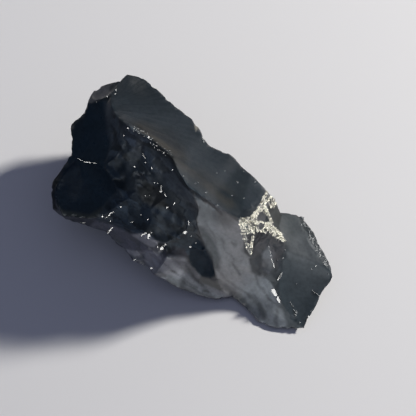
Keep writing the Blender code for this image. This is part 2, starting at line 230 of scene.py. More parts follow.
# How each break looks once it is clean: its outline in mm on the plan, how soft
# its border is, its colour, its roughness and how strongly it mirrors.
FINISHES = [
    ("satin", [(-10.2, 14.2), (-9.0, 15.5), (-7.8, 16.2), (-5.8, 15.8), (-4.2, 14.4), (-1.8, 12.2),
               (0.5, 10.5), (1.8, 7.9), (2.7, 7.2), (3.8, 6.6), (5.4, 5.7), (7.5, 3.4), (9.4, 1.6),
               (6.0, -1.6), (5.4, -2.2), (3.1, -0.4), (1.6, 0.5), (-0.2, 2.0), (-1.8, 3.8),
               (-2.8, 5.3), (-4.0, 6.5), (-5.5, 8.1), (-8.0, 9.3), (-9.2, 11.2), (-10.2, 13.4)],
     0.4, (0.013, 0.017, 0.022), 0.33, 0.38),
    ("hollow", [(-13.0, 12.3), (-10.9, 12.8), (-10.3, 11.3), (-10.0, 9.0), (-10.3, 6.5), (-10.9, 4.3),
                (-9.3, 1.3), (-10.9, -0.4), (-12.8, -1.6), (-16.5, -0.9), (-17.4, 0.9), (-16.0, 4.6),
                (-15.0, 7.1), (-14.9, 9.6), (-13.5, 11.0)],
     0.6, (0.017, 0.035, 0.053), 0.26, 0.08),
    ("hollow_heart", [(-16.4, 4.6), (-14.4, 5.2), (-13.6, 3.6), (-14.0, 1.8), (-16.2, 1.4)],
     1.0, (0.014, 0.030, 0.047), 0.32, 0.02),
    ("crest_side", [(-9.4, 10.6), (-6.0, 9.8), (-2.8, 9.2), (-0.6, 6.8), (-0.8, 4.6), (-2.8, 5.3),
                    (-4.0, 6.5), (-5.5, 8.1), (-8.0, 9.2)],
     1.4, (0.012, 0.014, 0.017), 0.36, 0.20),
    ("satin_dark", [(3.2, -0.8), (3.0, 1.0), (4.2, 2.6), (5.6, 4.4), (7.8, 3.5), (7.2, 1.6), (6.7, 0.2),
                    (6.4, -1.2), (5.4, -2.2), (4.4, -1.7)],
     1.2, (0.006, 0.010, 0.014), 0.34, 0.20),
    ("satin_rim", [(6.4, -0.6), (6.8, 1.2), (7.4, 3.6), (9.4, 1.8), (8.4, 0.2), (7.2, -1.0)],
     0.8, (0.012, 0.017, 0.023), 0.34, 0.33),
    # painted light: lightened, blue-green colour stands in for light the shaded middle would mirror
    ("hackly", [(-10.0, 11.1), (-8.0, 9.3), (-5.5, 8.1), (-4.0, 6.5), (-2.8, 5.3), (-1.8, 3.8),
                (-0.3, 2.0), (1.6, 0.5), (0.5, -0.5), (0.5, -2.0), (0.8, -3.8), (1.7, -5.4),
                (2.6, -6.8), (2.6, -9.3), (1.2, -9.3), (-0.1, -7.9), (-0.4, -7.1), (-1.8, -6.3),
                (-3.3, -6.4), (-4.8, -5.0), (-6.3, -4.4), (-7.9, -3.9), (-10.0, -2.9), (-12.0, -2.3),
                (-10.9, -0.4), (-9.3, 1.3), (-10.9, 4.3), (-10.3, 6.5), (-10.0, 9.0)],
     0.5, (0.043, 0.063, 0.079), 0.42, 0.14),
    # painted light: this wall of the hollow lies in shade; its colour is lightened to show it lighter
    ("hollow_side", [(-11.0, 12.6), (-10.2, 12.4), (-9.4, 10.6), (-8.9, 8.6), (-9.0, 6.6), (-9.9, 6.6),
                     (-10.6, 9.0)],
     0.8, (0.050, 0.072, 0.092), 0.40, 0.20),
    ("hollow_edge", [(-10.8, 5.8), (-8.6, 5.4), (-7.8, 3.4), (-8.2, 1.6), (-9.6, 1.2), (-10.8, 3.0)],
     0.8, (0.014, 0.027, 0.040), 0.30, 0.06),
    # painted light: a patch far lighter than the black stone, standing in for light on the crest
    ("hackly_top", [(-8.9, 9.8), (-7.0, 9.2), (-5.6, 7.6), (-5.6, 6.0), (-6.8, 5.6), (-8.0, 7.0)],
     0.8, (0.084, 0.108, 0.130), 0.40, 0.14),
    # painted light: the crest riser lies in shade; its colour is lightened to show it lighter
    ("crest_riser", [(-5.4, 7.6), (-4.2, 6.6), (-2.8, 5.2), (-1.8, 3.6), (-0.5, 1.8), (0.4, 0.9),
                     (0.4, -1.5), (-1.2, 0.0), (-3.0, 0.8), (-4.0, 2.4), (-4.8, 4.4)],
     0.8, (0.070, 0.086, 0.096), 0.40, 0.18),
    # painted light: these two patches are lightened in colour like the hackly middle
    ("middle_left", [(-10.9, -0.4), (-9.3, 1.3), (-7.0, 1.6), (-5.0, 0.0), (-3.4, -1.6), (-2.4, -2.6),
                     (-4.5, -3.2), (-6.3, -4.2), (-8.0, -3.6), (-10.0, -2.6)],
     0.8, (0.037, 0.058, 0.078), 0.42, 0.05),
    ("middle_foot", [(-4.4, -2.6), (-1.8, -3.0), (-1.0, -4.4), (-2.0, -5.6), (-3.6, -5.6), (-4.8, -4.4)],
     0.8, (0.043, 0.060, 0.074), 0.40, 0.12),
    ("brown_hollow", [(-6.9, 1.8), (-5.5, 2.4), (-4.0, 2.0), (-3.4, 0.6), (-3.2, -0.6), (-4.5, -0.7),
                      (-6.2, 0.0)],
     0.8, (0.040, 0.040, 0.036), 0.42, 0.10),
    ("slate_high", [(-7.0, 7.5), (-5.9, 7.4), (-5.7, 6.3), (-6.8, 6.0)],
     0.4, (0.050, 0.062, 0.074), 0.36, 0.15),
    ("slate_left", [(-7.3, 3.8), (-6.0, 3.4), (-5.4, 2.2), (-6.8, 2.8)],
     0.4, (0.054, 0.064, 0.074), 0.36, 0.15),
    ("slate_low", [(-5.0, -1.2), (-3.4, -1.8), (-1.8, -3.0), (-2.6, -3.3), (-4.4, -2.6)],
     0.5, (0.028, 0.040, 0.052), 0.38, 0.09),
    ("teal_slope", [(-2.5, -3.9), (-1.2, -3.6), (0.4, -4.6), (-0.2, -5.6), (-0.5, -6.6), (-2.0, -5.7)],
     0.6, (0.040, 0.066, 0.088), 0.38, 0.10),
    ("tongue", [(0.6, -4.6), (2.1, -5.2), (2.8, -6.8), (2.8, -8.4), (2.8, -9.3), (2.3, -9.6), (1.2, -9.3),
                (-0.1, -7.9), (-0.4, -7.1), (-0.3, -5.6)],
     0.3, (0.004, 0.022, 0.041), 0.36, 0.05),
    ("heel", [(-3.3, -6.9), (-3.2, -6.0), (-2.3, -5.5), (-0.9, -5.8), (-0.4, -7.1), (-2.0, -6.9)],
     0.4, (0.034, 0.032, 0.045), 0.36, 0.12),
    # painted reflection: the mauve colour stands in for the shaded blue-lilac paper these faces mirror
    ("mauve", [(-12.0, -2.3), (-10.0, -2.9), (-7.9, -3.9), (-6.3, -4.4), (-4.8, -5.0), (-3.3, -6.4),
               (-4.1, -8.1), (-4.8, -9.0), (-5.6, -8.6), (-6.9, -7.7), (-7.8, -6.8), (-8.7, -5.7),
               (-10.0, -4.9), (-10.8, -4.2), (-11.9, -3.5), (-13.0, -3.2)],
     0.4, (0.082, 0.084, 0.110), 0.38, 0.50),
    # painted light: these three patches, far paler than the stone, stand in for light they mirror
    ("mauve_high", [(-7.7, -4.1), (-6.2, -3.9), (-5.4, -4.2), (-4.1, -5.0), (-4.6, -5.6), (-5.4, -5.6),
                    (-6.5, -4.9)],
     0.25, (0.300, 0.297, 0.315), 0.42, 0.8),
    ("mauve_right", [(-6.2, -6.2), (-4.2, -6.2), (-3.6, -6.6), (-4.2, -8.2), (-5.0, -8.9), (-5.8, -7.6)],
     0.5, (0.185, 0.189, 0.230), 0.40, 0.65),
    ("mauve_low", [(-8.3, -5.9), (-6.8, -6.1), (-5.9, -6.4), (-7.1, -6.8), (-8.0, -6.4)],
     0.3, (0.250, 0.247, 0.270), 0.42, 0.8),
    # painted light: lightened colour stands in for light these low faces get from the lit paper in front
    ("pale_low", [(-4.8, -9.4), (-4.1, -8.1), (-3.2, -6.9), (-2.0, -6.9), (-0.9, -7.1), (-0.1, -8.1),
                  (1.0, -9.2), (0.9, -10.0), (2.8, -10.8), (4.4, -11.5), (5.1, -12.2), (3.8, -12.3),
                  (1.7, -12.3), (0.2, -11.9), (-2.0, -11.0), (-3.6, -9.9)],
     0.3, (0.130, 0.135, 0.166), 0.42, 0.38),
    # painted light: lighter still on the left part of the low front faces
    ("pale_low_left", [(-4.8, -9.4), (-4.1, -8.1), (-3.2, -6.9), (-2.0, -6.9), (-0.9, -7.1), (-0.9, -8.6),
                       (-1.8, -10.6), (-3.6, -9.9)],
     1.0, (0.220, 0.227, 0.275), 0.42, 0.90),
    ("pale_face", [(0.3, 0.3), (1.6, 0.0), (3.1, -0.6), (4.4, -1.6), (5.4, -2.3), (6.0, -2.6),
                   (6.4, -4.0), (6.5, -6.3), (7.2, -6.9), (7.5, -7.9), (8.5, -8.7), (9.0, -9.4),
                   (9.8, -10.0), (10.3, -10.8), (10.9, -12.4), (11.4, -13.4), (12.2, -16.2),
                   (10.9, -16.2), (9.6, -16.0), (8.1, -15.3), (7.0, -14.3), (6.0, -13.0), (5.1, -12.2),
                   (4.1, -11.4), (3.4, -10.2), (2.9, -8.6), (2.8, -6.8), (2.1, -5.3), (0.9, -3.7),
                   (0.5, -1.9), (0.6, -0.5)],
     0.25, (0.052, 0.059, 0.081), 0.32, 0.74),
    ("pale_side", [(0.7, -2.8), (1.5, -3.3), (2.6, -4.5), (3.2, -5.7), (3.6, -7.0), (3.5, -8.4), (2.7, -8.4),
                   (2.4, -6.8), (1.6, -5.4), (0.6, -4.0)],
     0.7, (0.014, 0.020, 0.028), 0.34, 0.34),
    ("pale_head", [(0.3, 0.3), (1.6, 0.0), (3.1, -0.6), (4.4, -1.6), (5.4, -2.3), (4.8, -3.2),
                   (2.8, -2.8), (0.8, -2.4)],
     1.6, (0.036, 0.039, 0.048), 0.34, 0.48),
    # painted light: the lower pale face tilts away from what it would mirror; its colour is lightened
    ("pale_foot", [(6.0, -9.4), (7.6, -9.2), (9.0, -9.6), (10.2, -11.0), (10.9, -13.0), (9.4, -13.6),
                   (7.4, -13.2), (5.4, -11.8), (4.6, -10.4)],
     1.2, (0.090, 0.098, 0.124), 0.36, 0.62),
    # painted light: the tip of the pale face, lightened in colour the same way
    ("pale_tip", [(6.9, -13.0), (8.0, -12.9), (9.4, -13.8), (12.0, -15.0), (12.2, -16.2), (10.0, -16.2),
                  (8.0, -15.3)],
     0.8, (0.115, 0.125, 0.155), 0.42, 0.55),
    # painted highlight: a bright streak by the flash on the lower pale face
    ("painted_highlight_streak", [(9.8, -11.2), (10.5, -11.0), (11.0, -12.2), (10.9, -13.0), (10.2, -12.9)],
     0.35, (0.210, 0.220, 0.245), 0.32, 0.80),
    ("step_face", [(6.9, -6.1), (7.2, -7.7), (8.5, -8.8), (9.8, -9.9), (10.6, -11.0), (11.0, -9.1),
                   (11.6, -6.0), (11.5, -5.1), (9.8, -4.5), (8.0, -3.8), (7.3, -4.8)],
     0.3, (0.020, 0.021, 0.027), 0.38, 0.32),
    ("step_light", [(8.8, -6.4), (9.6, -5.4), (10.1, -6.6), (10.3, -8.2), (9.6, -9.0), (8.8, -8.2)],
     0.4, (0.060, 0.062, 0.074), 0.38, 0.45),
    ("step_dark", [(7.2, -7.3), (8.3, -7.4), (9.0, -8.9), (8.4, -9.3), (7.4, -8.8)],
     0.5, (0.022, 0.024, 0.030), 0.40, 0.28),
    ("end_upper", [(10.6, -0.8), (11.1, -1.4), (13.3, -1.5), (14.8, -3.0), (17.6, -7.5), (17.2, -8.4),
                   (15.0, -7.6), (13.4, -6.9), (12.2, -6.4), (11.6, -6.0), (11.5, -5.1), (10.5, -3.3),
                   (10.3, -1.6)],
     0.9, (0.030, 0.036, 0.039), 0.40, 0.4),
    # painted sheen: a lighter patch on the narrow end standing in for the sheen it catches
    ("end_painted_sheen", [(12.3, -4.4), (13.8, -4.0), (15.4, -5.2), (16.4, -6.6), (17.3, -8.2), (15.2, -8.4),
                  (13.2, -7.6), (11.9, -6.3)],
     1.4, (0.076, 0.083, 0.088), 0.40, 0.4),
    ("end_lower", [(11.5, -7.0), (13.2, -7.3), (15.0, -7.5), (17.4, -8.1), (18.0, -9.3), (16.4, -12.2),
                   (14.4, -16.2), (12.2, -16.6), (11.2, -13.4), (10.7, -12.4), (10.4, -11.0), (10.8, -9.1)],
     1.0, (0.027, 0.036, 0.044), 0.38, 0.25),
    ("rim_chip", [(-13.4, 12.9), (-12.5, 14.1), (-11.1, 14.9), (-10.3, 14.8), (-10.4, 13.7), (-11.1, 13.2),
                  (-12.3, 12.5), (-12.9, 12.4)],
     0.25, (0.178, 0.172, 0.160), 0.60, 0.3),
    ("grey_strip", [(10.0, 0.6), (10.8, -0.2), (11.3, -1.5), (10.9, -3.0), (11.2, -4.0), (10.4, -3.1),
                    (9.8, -2.0), (9.5, -0.9)],
     0.2, (0.014, 0.016, 0.015), 0.50, 0.20),
    ("tan_chip", [(-15.4, 9.9), (-14.9, 9.9), (-14.8, 9.2), (-15.3, 9.1)], 0.2, (0.16, 0.14, 0.11), 0.6, 0.3),
    ("bright_chip", [(0.3, 10.3), (0.6, 10.2), (0.8, 9.2), (0.5, 8.8), (0.35, 9.4)],
     0.2, (0.22, 0.21, 0.18), 0.6, 0.3),
]
# the plain break that shows wherever no finish of the list lies
PLAIN_COLOUR = (0.010, 0.013, 0.017)
PLAIN_ROUGHNESS = 0.30
PLAIN_MIRROR = 0.28
# a thin brown film on the satin face, and the two places that glitter with tiny breaks
FILM_BAND = [(-6.5, 9.3), (-3.5, 6.8), (-0.8, 4.7), (2.0, 2.4), (4.7, 0.2)]
GRANULAR_CREST = [(-7.0, 9.0), (-5.4, 8.0), (-4.2, 6.9), (-2.8, 5.7)]
GLITTER_BEVEL = [(13.7, -2.0), (14.6, -3.6), (15.8, -5.6), (17.1, -8.0)]
BEVEL_COLOUR = (0.012, 0.014, 0.016)
# dark swirls on the pale faces, each with its width, its strength and its line
SWIRL_COLOUR = (0.012, 0.013, 0.020)
SWIRLS = [
    (0.30, 0.8, [(5.0, -7.7), (5.4, -8.4), (6.0, -9.1)]),
    (0.70, 0.8, [(7.3, -11.8), (8.3, -12.9), (8.6, -13.6), (8.9, -14.3)]),
    (0.28, 0.7, [(8.9, -10.8), (9.7, -12.2), (11.0, -13.1), (12.5, -13.7)]),
    (0.45, 0.7, [(10.6, -13.4), (10.5, -14.6), (10.7, -15.6)]),
    (0.60, 0.4, [(2.4, -7.6), (3.0, -9.6), (4.2, -10.8), (5.8, -12.1)]),
    (0.30, 0.5, [(3.2, -8.3), (4.3, -9.8), (5.8, -10.8), (7.4, -11.8)]),
    (0.60, 0.7, [(6.7, -6.0), (7.4, -6.9), (8.6, -8.8)]),
    (0.90, 0.35, [(1.6, -2.8), (2.4, -3.6), (3.4, -4.6), (3.8, -5.6)]),
    (0.80, 0.6, [(-2.8, -9.4), (-1.2, -10.2)]),
    (0.60, 0.45, [(-1.8, -7.2), (-0.2, -8.4), (0.8, -9.6)]),
    (0.25, 0.6, [(4.9, -5.0), (5.5, -5.3)]),
    (0.70, 0.6, [(12.6, -14.2), (12.2, -15.2)]),
    (0.30, 0.6, [(8.0, -9.2), (8.2, -10.2), (9.0, -11.4)]),
    (0.45, 0.6, [(-2.4, -7.1), (-0.8, -8.6), (1.4, -10.4)]),
    (0.50, 0.7, [(-4.0, -8.8), (-2.2, -10.0), (0.3, -11.6)]),
    (0.30, 0.5, [(-0.8, -7.9), (0.4, -9.6), (2.2, -11.4)]),
    (0.22, 0.6, [(-3.6, -7.6), (-2.0, -9.0), (0.6, -10.8)]),
    (0.40, 1.0, [(0.9, -9.8), (1.8, -10.1), (2.9, -10.4)]),
    (0.35, 0.9, [(-3.3, -9.8), (-2.7, -10.1), (-2.1, -10.4)]),
    (0.30, 0.7, [(-4.5, -9.2), (-3.5, -9.4)]),
    (0.28, 0.8, [(-2.4, -8.75), (-2.0, -8.85)]),
    (0.30, 0.8, [(1.4, -11.1), (2.0, -11.3)]),
    (0.80, 0.6, [(3.6, -10.2), (4.8, -11.0), (5.8, -11.9), (6.8, -12.9)]),
    (0.25, 0.7, [(-1.4, -9.8), (0.8, -11.3), (2.6, -11.9)]),
    (0.22, 0.5, [(3.6, -4.6), (4.2, -6.0), (5.2, -7.2)]),
    (0.22, 0.5, [(1.8, -2.4), (2.6, -3.6), (3.0, -5.0)]),
]
# the crack that the pyrite crust fills, on the plan
VEIN = [(9.0, 1.7), (9.6, 1.1), (10.6, 0.3), (10.6, -0.5), (10.0, -0.9), (9.7, -0.5), (9.3, -0.8),
        (9.7, -2.0), (10.0, -2.8), (10.5, -3.3), (11.3, -4.2), (11.6, -5.0), (10.8, -4.9), (9.6, -4.3),
        (8.6, -3.8), (7.7, -3.6), (7.6, -4.6), (7.5, -6.0), (7.3, -6.6), (6.9, -5.9), (6.3, -4.6),
        (6.3, -3.3), (5.9, -2.5), (6.0, -2.1), (6.9, -1.8), (7.9, -1.25), (8.6, 0.0), (8.9, 1.0)]
# the thick threads of the crust, each with its width
VEIN_THREADS = [
    (0.50, [(6.0, -2.2), (6.3, -3.4), (6.7, -4.9), (7.3, -6.4)]),
    (1.20, [(6.7, -2.8), (7.1, -3.4)]),
    (0.36, [(7.7, -3.1), (7.6, -4.5), (7.4, -5.9)]),
    (0.34, [(6.3, -2.2), (7.3, -1.9), (8.2, -1.05), (8.9, 0.4), (9.3, 1.2)]),
    (0.32, [(6.9, -2.7), (7.9, -1.8), (8.6, -1.0), (9.3, 0.1), (9.9, 0.6)]),
    (0.60, [(10.0, -0.5), (10.4, 0.2)]),
    (0.36, [(9.1, -0.6), (9.6, -1.7), (9.9, -2.5)]),
    (0.28, [(7.8, -2.7), (8.1, -3.6), (8.8, -3.6), (9.2, -2.9), (8.6, -2.5), (7.8, -2.7)]),
    (1.00, [(9.4, -2.9), (10.2, -3.6), (10.9, -4.3)]),
    (0.50, [(10.9, -4.3), (11.5, -4.8)]),
    (0.36, [(7.0, -2.6), (8.1, -2.5)]),
]
# the holes in the crust, where the dark stone shows
VEIN_GAPS = [
    [(8.05, -2.1), (8.6, -1.1), (9.45, -1.95), (9.4, -2.55), (8.3, -2.4)],
    [(8.2, -3.0), (8.4, -2.6), (8.85, -2.6), (9.1, -3.0), (8.85, -3.35), (8.4, -3.35)],
    [(7.4, -4.0), (7.4, -4.7), (7.2, -5.5), (6.95, -4.8), (7.1, -4.1)],
]

shape = {}
tint = np.tile(PLAIN_COLOUR, (len(points), 1))
gloss = np.full(len(points), PLAIN_ROUGHNESS)
mirror = np.full(len(points), PLAIN_MIRROR)
for name, loop, soft, colour, roughness, level in FINISHES:
    share = within(plan, loop, soft) * facing
    shape[name] = share
    tint += (np.array(colour) - tint) * share[:, None]
    gloss += (roughness - gloss) * share
    mirror += (level - mirror) * share
film = near_line(plan, FILM_BAND, 1.0, 2.4) * shape["satin"]
mirror *= 1 - 0.45 * film
bevel = near_line(plan, GLITTER_BEVEL, 0.8, 0.5) * facing
tint += (np.array(BEVEL_COLOUR) - tint) * 0.6 * bevel[:, None]
ragged = plan + 0.10 * np.stack([noise_at(points, 0.35, 70), noise_at(points, 0.35, 80)], axis=1)
vein = within(ragged, VEIN, 0.3) * np.clip(0.42 + 0.5 * noise_at(points, 0.4, 12), 0, 1)
thread_share = np.clip(1 + 0.6 * noise_at(points, 0.3, 14), 0, 1)
for width, thread in VEIN_THREADS:
    vein = np.maximum(vein, near_line(ragged, thread, width, 0.18) * thread_share)
for loop in VEIN_GAPS:
    vein = np.minimum(vein, 1 - within(ragged, loop, 0.2))
vein *= facing
pale = np.clip(shape["pale_face"] + shape["pale_low"], 0, 1)
drift = 0.25 * np.stack([noise_at(points, 1.6, 33), noise_at(points, 1.6, 44)], axis=1)
for width, depth, line in SWIRLS:
    share = near_line(plan + drift, line, width, width) * depth * pale
    tint += (np.array(SWIRL_COLOUR) - tint) * share[:, None]
    mirror *= 1 - 0.5 * share
calm = np.clip(shape["satin"] + pale + shape["hollow"] + shape["end_upper"] + shape["end_lower"], 0, 1)

# ripples that spread over each hollow shell from where it was struck
RIPPLE_LENGTH = 1.5
RIPPLE_HEIGHT = 0.030
RIPPLE_CLEAR = 1.1
SMALLEST_SHELL = 40
away_from_ridge = ease(ridge_reach / RIPPLE_CLEAR)
ripple = np.zeros(len(points))
for shell in range(shell_count):
    members = np.nonzero(point_shell == shell)[0]
    if len(members) < SMALLEST_SHELL:
        continue
    lean = noise.cell_vector(Vector((shell + 0.5, 2.5, 0.5))) - Vector((0.5, 0.5, 0.5))
    struck = points[members][np.argmax(points[members] @ np.array(lean))]
    distance = np.linalg.norm(points[members] - struck, axis=1)
    wave = noise_at(points[members], 3.5, shell)
    ripple[members] = np.sin(2 * math.pi * distance / RIPPLE_LENGTH + 5 * wave)
    ripple[members] *= 0.5 + 0.5 * noise_at(points[members], 5.0, 40 + shell)
lift = ripple * RIPPLE_HEIGHT * away_from_ridge * (1 - 0.75 * calm)

# slow unevenness that no break is free of
UNEVEN = 0.07
uneven = noise_at(points, 2.6, 7) + 0.3 * noise_at(points, 0.9, 17)
lift += UNEVEN * uneven * away_from_ridge * (1 - 0.75 * calm)

# the hackly middle: small tilted ledges, drawn out along the crest. Each ledge's colour
# is made lighter or darker with its rise: painted light and shade for how it catches the light
LEDGE_SIZE = 0.8
LEDGE_TILT = 0.08
LEDGE_RISE = 0.035
LEDGE_SHADE = 1.3
LEDGE_STRETCH = 0.55
crest_way = from_sight(0.72, -0.62, 0)
hidden_patch = ease((noise_at(points, 6.0, 90) + 0.15) / 0.3) * (1 - facing)
ledgy = np.clip(shape["hackly"] * (1 - shape["tongue"]) + 0.6 * shape["step_face"]
                + 0.5 * shape["mauve"] + hidden_patch, 0, 1)
ledgy *= ease(ridge_reach / 0.25)
for number in np.nonzero(ledgy > 0.01)[0]:
    spot = Vector(points[number])
    spot = (spot - crest_way * spot.dot(crest_way) * LEDGE_STRETCH) / LEDGE_SIZE
    home = noise.voronoi(spot)[1][0]
    tilt = noise.cell_vector(home * 9.7) - Vector((0.5, 0.5, 0.5))
    rise = noise.cell_vector(home * 7.1 + Vector((3.5, 1.5, 2.5))).x - 0.5
    ledge = LEDGE_SIZE * LEDGE_TILT * 2 * tilt.dot(spot - home) + LEDGE_RISE * 2 * rise
    lift[number] += ledge * ledgy[number] * (1 + 1.5 * hidden_patch[number])
    # painted light and shade: lighter or darker colour with the ledge's rise
    tint[number] *= 1 + LEDGE_SHADE * rise * ledgy[number]

# long low striae that fan over the satin face, and flow lines on the pale face
FAN_START = np.array((-11.2, 11.8))
fan = plan - FAN_START
fan_angle = np.arctan2(fan[:, 1], fan[:, 0])
fan_reach = np.linalg.norm(fan, axis=1)
fan_map = np.stack([fan_angle * 12, fan_reach * 0.12], axis=1)
fan_points = np.stack([fan_map[:, 0], fan_map[:, 1], np.zeros(len(points))], axis=1)
lift += 0.012 * noise_at(fan_points, 1.0, 5) * shape["satin"] * away_from_ridge
FLOW_RUN = np.array((0.62, -0.785))
flow_along = plan @ FLOW_RUN
flow_across = plan @ np.array((-FLOW_RUN[1], FLOW_RUN[0]))
flow_bend = noise_at(np.stack([plan[:, 0], plan[:, 1], np.zeros(len(points))], axis=1), 4.0, 3)
flow_map = np.stack([flow_across * 0.9 + 1.6 * flow_bend, flow_along * 0.36], axis=1)
flow_points = np.stack([flow_map[:, 0], flow_map[:, 1], np.zeros(len(points))], axis=1)
lift += 0.03 * noise_at(flow_points, 1.0, 8) * pale * away_from_ridge

# chipped ridges
CHIP_REACH = 0.40
CHIP_DEPTH = 0.22
near_ridge = ease(1 - ridge_reach / CHIP_REACH)
chipped = ease((noise_at(points, 0.75, 21) - 0.02) / 0.35) * (0.5 + 0.5 * noise_at(points, 3.0, 55))
lift -= CHIP_DEPTH * near_ridge * chipped
lift += 0.03 * noise_at(points, 0.35, 31) * near_ridge

# the pyrite crust stands up in rounded grains, and the bevel is rough
CRUST_GRAIN = 0.36
crusted = np.zeros(len(points))
for number in np.nonzero(vein > 0.01)[0]:
    gap = noise.voronoi(Vector(points[number]) / CRUST_GRAIN)[0]
    crusted[number] = min(1, 1.8 * (gap[1] - gap[0]))
lift += vein * (0.03 + 0.10 * crusted)
lift += bevel * 0.10 * noise_at(points, 0.4, 61)

# the face that it rests on keeps its place on the table
lift *= ease(points[:, 2] / 0.3)
points = points + normals * lift[:, None]
points[:, 2] = np.maximum(points[:, 2], 0)
write_points(stone.data, points)
stone.data.shade_smooth()

colours = stone.data.attributes.new("tint", "FLOAT_COLOR", "POINT")
colours.data.foreach_set("color", np.c_[tint, np.ones(len(tint))].astype(np.float32).ravel())
write_mask(stone.data, "gloss", gloss)
write_mask(stone.data, "mirror", mirror)
write_mask(stone.data, "vein", vein)
write_mask(stone.data, "crusted", crusted)
write_mask(stone.data, "film", film)
write_mask(stone.data, "pale", pale)
write_mask(stone.data, "satin", shape["satin"])
write_mask(stone.data, "ridge", ease(1 - ridge_reach / 0.3))
write_map(stone.data, "fan", fan_map)
write_map(stone.data, "flow", flow_map)

shungite = bpy.data.materials.new("shungite")
shungite.use_nodes = True
tree = shungite.node_tree


def add(tree, kind, **settings):
    """Add a node and set its choices."""
    node = tree.nodes.new(kind)
    for name, value in settings.items():
        setattr(node, name, value)
    return node


def join(tree, source, node, socket):
    """Link an output to a socket, or set the socket to a plain value."""
    if isinstance(source, bpy.types.NodeSocket):
        tree.links.new(source, node.inputs[socket])
    else:
        node.inputs[socket].default_value = source


def blend(tree, share, low, high):
    """One colour turning into another."""
    node = add(tree, "ShaderNodeMix", data_type="RGBA")
    join(tree, share, node, 0)
    join(tree, low, node, 6)
    join(tree, high, node, 7)
    return node.outputs[2]


def sum_of(tree, first, second, operation="ADD"):
    """Two numbers put together."""
    node = add(tree, "ShaderNodeMath", operation=operation)
    join(tree, first, node, 0)
    join(tree, second, node, 1)
    return node.outputs[0]


def slide(tree, share, low, high):
    """One number turning into another."""
    node = add(tree, "ShaderNodeMix", data_type="FLOAT")
    join(tree, share, node, 0)
    join(tree, low, node, 2)
    join(tree, high, node, 3)
    return node.outputs[0]


def mask(tree, name, output="Fac"):
    """A number or a map kept at the points of the mesh."""
    return add(tree, "ShaderNodeAttribute", attribute_name=name).outputs[output]


def cloud(tree, vector, scale, detail=3, output="Fac"):
    """Smooth noise."""
    node = add(tree, "ShaderNodeTexNoise")
    join(tree, vector, node, "Vector")
    join(tree, scale, node, "Scale")
    node.inputs["Detail"].default_value = detail
    return node.outputs[output]


def clip(tree, value, low, high):
    """Stretch a number so that low is 0 and high is 1."""
    node = add(tree, "ShaderNodeMapRange")
    join(tree, value, node, "Value")
    node.inputs["From Min"].default_value = low
    node.inputs["From Max"].default_value = high
    return node.outputs["Result"]


def relief(tree, height, distance, strength, below=None):
    """Fine relief on top of the relief below it."""
    node = add(tree, "ShaderNodeBump")
    node.inputs["Distance"].default_value = distance
    join(tree, strength, node, "Strength")
    join(tree, height, node, "Height")
    if below:
        join(tree, below, node, "Normal")
    return node.outputs["Normal"]


# pale gold that goes dull in patches, for the crust and for the grains on it
tarnish = bpy.data.node_groups.new("pyrite_tarnish", "ShaderNodeTree")
for name, kind in [("Dull Gold", "NodeSocketColor"), ("Bright Gold", "NodeSocketColor"),
                   ("Patches Per Metre", "NodeSocketFloat")]:
    tarnish.interface.new_socket(name, in_out="INPUT", socket_type=kind)
tarnish.interface.new_socket("Color", in_out="OUTPUT", socket_type="NodeSocketColor")
tarnish.interface.new_socket("Roughness", in_out="OUTPUT", socket_type="NodeSocketFloat")
given = add(tarnish, "NodeGroupInput").outputs
patches = cloud(tarnish, add(tarnish, "ShaderNodeTexCoord").outputs["Object"], given["Patches Per Metre"])
patches = clip(tarnish, patches, 0.4, 0.65)
wanted = add(tarnish, "NodeGroupOutput")
join(tarnish, blend(tarnish, patches, given["Dull Gold"], given["Bright Gold"]), wanted, "Color")
join(tarnish, slide(tarnish, patches, 0.40, 0.26), wanted, "Roughness")


def gilded(tree, dull, bright, patches_per_metre):
    """The outputs of the tarnish, set to two golds."""
    node = add(tree, "ShaderNodeGroup", node_tree=tarnish)
    node.inputs["Dull Gold"].default_value = dull
    node.inputs["Bright Gold"].default_value = bright
    node.inputs["Patches Per Metre"].default_value = patches_per_metre
    return node.outputs


spot = add(tree, "ShaderNodeTexCoord").outputs["Object"]
shader = tree.nodes["Principled BSDF"]
shader.inputs["IOR"].default_value = 2.3

mottle = clip(tree, cloud(tree, spot, 420), 0.35, 0.65)
streak = cloud(tree, mask(tree, "fan", "Vector"), 1.6, 4)
swirl = cloud(tree, mask(tree, "flow", "Vector"), 1.4, 4)
grain = cloud(tree, spot, 5200, 4)

colour = mask(tree, "tint", "Color")
colour = blend(tree, sum_of(tree, mottle, 0.25, "MULTIPLY"), colour, (0.004, 0.006, 0.008, 1))
freckle = clip(tree, cloud(tree, spot, 2400, 5), 0.42, 0.66)
colour = blend(tree, sum_of(tree, freckle, 0.25, "MULTIPLY"), colour, (0.004, 0.006, 0.008, 1))
film_share = sum_of(tree, mask(tree, "film"), clip(tree, streak, 0.35, 0.6), "MULTIPLY")
colour = blend(tree, film_share, colour, (0.033, 0.029, 0.022, 1))
swirl_share = sum_of(tree, mask(tree, "pale"), clip(tree, swirl, 0.52, 0.75), "MULTIPLY")
colour = blend(tree, sum_of(tree, swirl_share, 0.55, "MULTIPLY"), colour, (0.014, 0.015, 0.019, 1))
worn = sum_of(tree, mask(tree, "ridge"), clip(tree, cloud(tree, spot, 1500), 0.5, 0.7), "MULTIPLY")
colour = blend(tree, sum_of(tree, worn, 0.6, "MULTIPLY"), colour, (0.045, 0.047, 0.050, 1))
crust = clip(tree, sum_of(tree, mask(tree, "vein"), sum_of(tree, grain, 0.5, "SUBTRACT")), 0.40, 0.60)
crust = sum_of(tree, crust, clip(tree, mask(tree, "crusted"), 0.10, 0.45), "MULTIPLY")
gold = gilded(tree, (0.16, 0.15, 0.12, 1), (0.86, 0.84, 0.74, 1), 3000)
colour = blend(tree, crust, colour, gold["Color"])
join(tree, colour, shader, "Base Color")
join(tree, sum_of(tree, crust, 0.2, "MULTIPLY"), shader, "Metallic")

